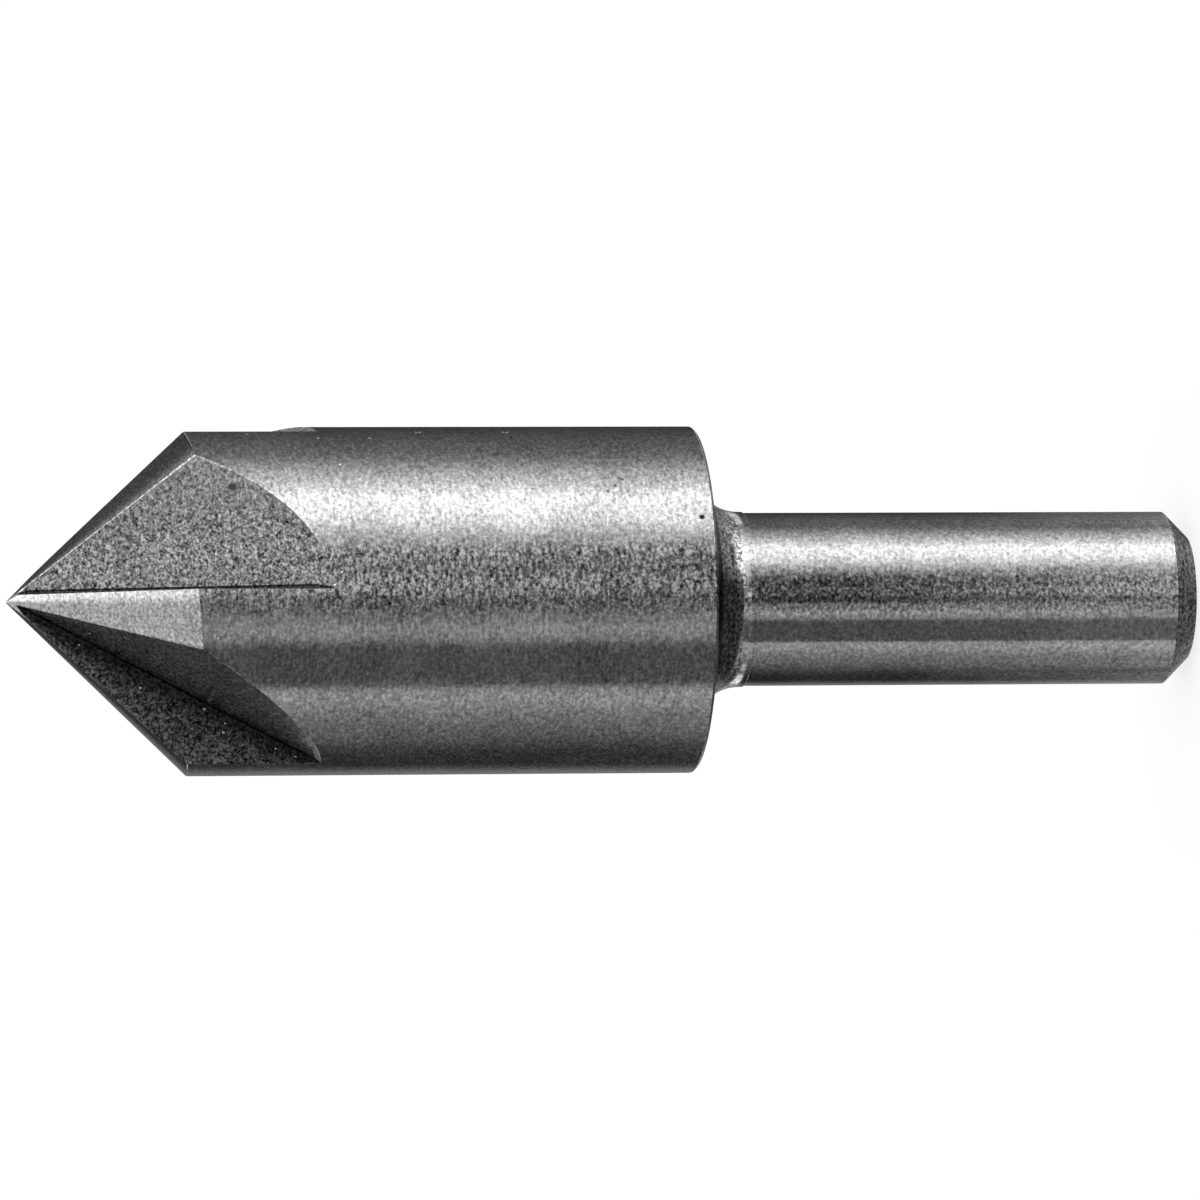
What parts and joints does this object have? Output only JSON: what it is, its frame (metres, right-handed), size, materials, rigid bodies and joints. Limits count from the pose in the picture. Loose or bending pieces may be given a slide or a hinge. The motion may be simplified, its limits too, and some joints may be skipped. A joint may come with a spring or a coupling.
{
  "type": "countersink bit",
  "caption": "Straight-flute steel countersink bit: a right-angled conical cutting point on a wide cylindrical body, with a narrower plain round shank for a chuck.",
  "frame": {"origin": "centre of the shank's flat end face, on the tool's axis", "axes": "+Z runs along the axis from the shank to the point; -Y passes through one of the lands, whose rake face is parallel to the YZ plane"},
  "size_m": [0.016, 0.016, 0.055],
  "materials": {
    "steel": "uncoated high speed steel, ground on the cylinders and lands, milled in the flutes"
  },
  "bodies": {
    "root": {"countersink_bit": "steel"}
  },
  "joints": []
}
